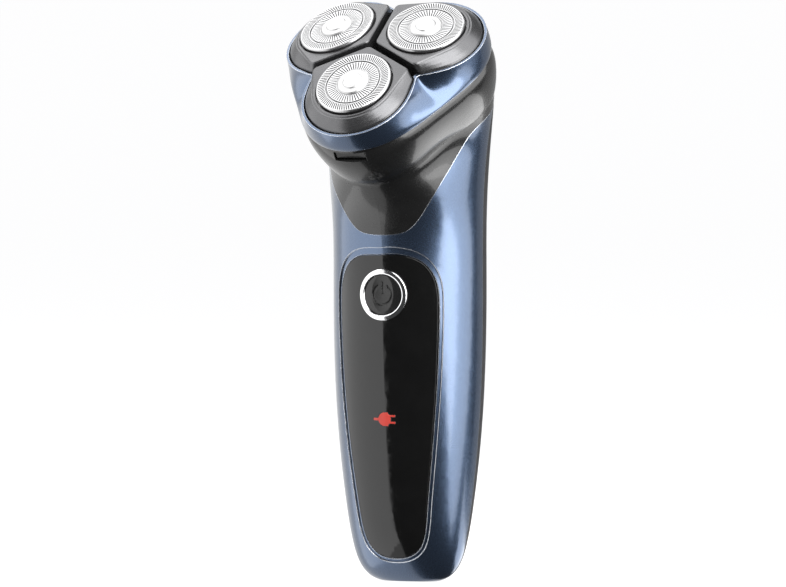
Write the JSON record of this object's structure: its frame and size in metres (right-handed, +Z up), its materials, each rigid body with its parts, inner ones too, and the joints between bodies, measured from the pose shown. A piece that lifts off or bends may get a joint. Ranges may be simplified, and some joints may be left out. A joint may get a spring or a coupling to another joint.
{
  "type": "electric shaver",
  "caption": "Cordless rotary shaver: a tapered handle with a glossy front panel and power button, a black neck, and a forward-leaning three-lobed head with floating round cutters.",
  "frame": {"origin": "middle of the charging socket's mouth in the flat underside of the handle", "axes": "+Z up along the handle's axis, the front with the panel and button faces -Y and the shaving head leans that way, +X is to the right of someone who faces the front"},
  "size_m": [0.0592, 0.0635, 0.1608],
  "materials": {
    "blue_shell": "satin metallic blue lacquer on moulded plastic",
    "rear_grip": "fine-grained dark plastic",
    "black_gloss": "gloss black plastic",
    "black_collar": "semi-gloss black plastic",
    "pod_black": "satin near-black plastic",
    "bright_ring": "bright trim ring",
    "button_black": "satin black with an engraved symbol",
    "red_symbol": "translucent red",
    "seal_rubber": "black sealing rubber",
    "guard_steel": "fine turned steel",
    "guard_disc": "bright satin disc",
    "cutter_steel": "ground steel",
    "white_plastic": "natural white acetal",
    "inner_plastic": "dark grey moulded plastic",
    "circuit_green": "solder-masked laminate with black components",
    "switch_black": "black switch housing",
    "led_lens": "milky lamp body",
    "battery_sleeve": "shrink sleeve",
    "nickel_strip": "nickel strip",
    "motor_steel": "zinc-plated steel",
    "pinion_brass": "brass",
    "screw_steel": "zinc-plated steel screws",
    "spring_steel": "spring wire",
    "socket_metal": "drawn steel shell"
  },
  "bodies": {
    "handle": {"front_shell": "blue_shell", "rear_shell": "rear_grip", "front_panel": "black_gloss", "charge_indicator": "red_symbol", "button_ring": "bright_ring", "button_seal": "seal_rubber", "base_cap": "rear_grip", "charging_socket": "socket_metal", "neck_collar": "black_collar", "chassis": "inner_plastic", "chassis_screws": "screw_steel", "circuit_board": "circuit_green", "board_screws": "screw_steel", "tact_switch": "switch_black", "status_leds": "led_lens", "battery_cell": "battery_sleeve", "battery_tabs": "nickel_strip", "motor_can": "motor_steel", "motor_end_cap": "white_plastic", "motor_screws": "screw_steel", "gear_plate": "inner_plastic", "gear_axles": "screw_steel", "neck_seal": "seal_rubber", "head_base": "black_collar", "spindle_seals": "seal_rubber", "hinge_pin": "screw_steel"},
    "button": {"power_button": "button_black"},
    "plunger": {"switch_plunger": "white_plastic"},
    "release": {"release_button": "black_collar"},
    "rotor": {"motor_shaft": "motor_steel", "motor_pinion": "pinion_brass"},
    "gear_front": {"drive_gear_front": "white_plastic", "tip_spring_front": "spring_steel"},
    "tip_front": {"drive_tip_front": "white_plastic"},
    "gear_right": {"drive_gear_right": "white_plastic", "tip_spring_right": "spring_steel"},
    "tip_right": {"drive_tip_right": "white_plastic"},
    "gear_left": {"drive_gear_left": "white_plastic", "tip_spring_left": "spring_steel"},
    "tip_left": {"drive_tip_left": "white_plastic"},
    "head": {"head_shroud": "blue_shell", "cutter_frame": "inner_plastic"},
    "pod_front": {"pod_front": "pod_black"},
    "guard_front": {"guard_front": "guard_steel", "guard_cap_front": "guard_disc"},
    "cutter_front": {"blade_front": "cutter_steel", "blade_hub_front": "white_plastic"},
    "pod_right": {"pod_right": "pod_black"},
    "guard_right": {"guard_right": "guard_steel", "guard_cap_right": "guard_disc"},
    "cutter_right": {"blade_right": "cutter_steel", "blade_hub_right": "white_plastic"},
    "pod_left": {"pod_left": "pod_black"},
    "guard_left": {"guard_left": "guard_steel", "guard_cap_left": "guard_disc"},
    "cutter_left": {"blade_left": "cutter_steel", "blade_hub_left": "white_plastic"}
  },
  "joints": [
    {"name": "power_button_press", "type": "slide", "parent": "handle", "child": "button", "axis": [0, 1, 0], "range_m": [0, 0.0005], "stiffness_N_per_m": 800, "springref_m": -0.001},
    {"name": "switch_plunger_press", "type": "slide", "parent": "handle", "child": "plunger", "axis": [0, 1, 0], "range_m": [0, 0.0005]},
    {"name": "release_press", "type": "slide", "parent": "handle", "child": "release", "axis": [0, 0.766, 0.6428], "range_m": [0, 0.0008], "stiffness_N_per_m": 700, "springref_m": -0.001},
    {"name": "motor_spin", "type": "hinge", "parent": "handle", "child": "rotor", "pos_m": [0, -0.00803, 0.12925], "axis": [0, -0.6428, 0.766], "continuous": true},
    {"name": "gear_front_spin", "type": "hinge", "parent": "handle", "child": "gear_front", "pos_m": [0, -0.02209, 0.12267], "axis": [0, -0.6428, 0.766], "continuous": true},
    {"name": "tip_front_slide", "type": "slide", "parent": "gear_front", "child": "tip_front", "axis": [0, 0.6428, -0.766], "range_m": [0, 0.0013], "deforming": ["tip_spring_front"]},
    {"name": "gear_right_spin", "type": "hinge", "parent": "handle", "child": "gear_right", "pos_m": [0.01299, -0.00486, 0.13713], "axis": [0, -0.6428, 0.766], "continuous": true},
    {"name": "tip_right_slide", "type": "slide", "parent": "gear_right", "child": "tip_right", "axis": [0, 0.6428, -0.766], "range_m": [0, 0.0013], "deforming": ["tip_spring_right"]},
    {"name": "gear_left_spin", "type": "hinge", "parent": "handle", "child": "gear_left", "pos_m": [-0.01299, -0.00486, 0.13713], "axis": [0, -0.6428, 0.766], "continuous": true},
    {"name": "tip_left_slide", "type": "slide", "parent": "gear_left", "child": "tip_left", "axis": [0, 0.6428, -0.766], "range_m": [0, 0.0013], "deforming": ["tip_spring_left"]},
    {"name": "head_hinge", "type": "hinge", "parent": "handle", "child": "head", "pos_m": [0, 0.00314, 0.1567], "axis": [-1, 0, 0], "range_deg": [0, 100]},
    {"name": "pod_front_rock", "type": "hinge", "parent": "head", "child": "pod_front", "pos_m": [0, -0.03227, 0.1348], "axis": [1, 0, 0], "range_deg": [-4, 4], "stiffness_Nm_per_rad": 0.06},
    {"name": "guard_front_float", "type": "slide", "parent": "pod_front", "child": "guard_front", "axis": [0, 0.729, -0.6845], "range_m": [0, 0.0012], "stiffness_N_per_m": 500, "springref_m": -0.001},
    {"name": "cutter_front_spin", "type": "hinge", "parent": "guard_front", "child": "cutter_front", "pos_m": [0, -0.03606, 0.13836], "axis": [0, -0.729, 0.6845], "continuous": true},
    {"name": "pod_right_rock", "type": "hinge", "parent": "head", "child": "pod_right", "pos_m": [0.01299, -0.01504, 0.14927], "axis": [-0.5, 0.6634, 0.5567], "range_deg": [-4, 4], "stiffness_Nm_per_rad": 0.06},
    {"name": "guard_right_float", "type": "slide", "parent": "pod_right", "child": "guard_right", "axis": [-0.1025, 0.5929, -0.7987], "range_m": [0, 0.0012], "stiffness_N_per_m": 500, "springref_m": -0.001},
    {"name": "cutter_right_spin", "type": "hinge", "parent": "guard_right", "child": "cutter_right", "pos_m": [0.01352, -0.01812, 0.15342], "axis": [0.1025, -0.5929, 0.7987], "continuous": true},
    {"name": "pod_left_rock", "type": "hinge", "parent": "head", "child": "pod_left", "pos_m": [-0.01299, -0.01504, 0.14927], "axis": [-0.5, -0.6634, -0.5567], "range_deg": [-4, 4], "stiffness_Nm_per_rad": 0.06},
    {"name": "guard_left_float", "type": "slide", "parent": "pod_left", "child": "guard_left", "axis": [0.1025, 0.5929, -0.7987], "range_m": [0, 0.0012], "stiffness_N_per_m": 500, "springref_m": -0.001},
    {"name": "cutter_left_spin", "type": "hinge", "parent": "guard_left", "child": "cutter_left", "pos_m": [-0.01352, -0.01812, 0.15342], "axis": [-0.1025, -0.5929, 0.7987], "continuous": true}
  ],
  "couplings": [
    {"joint": "switch_plunger_press", "follows": "power_button_press", "ratio": 1},
    {"joint": "gear_front_spin", "follows": "motor_spin", "ratio": -0.42857},
    {"joint": "tip_front_slide", "follows": "guard_front_float", "ratio": 1},
    {"joint": "gear_right_spin", "follows": "motor_spin", "ratio": -0.42857},
    {"joint": "tip_right_slide", "follows": "guard_right_float", "ratio": 1},
    {"joint": "gear_left_spin", "follows": "motor_spin", "ratio": -0.42857},
    {"joint": "tip_left_slide", "follows": "guard_left_float", "ratio": 1},
    {"joint": "cutter_front_spin", "follows": "motor_spin", "ratio": -0.42857},
    {"joint": "cutter_right_spin", "follows": "motor_spin", "ratio": -0.42857},
    {"joint": "cutter_left_spin", "follows": "motor_spin", "ratio": -0.42857}
  ]
}
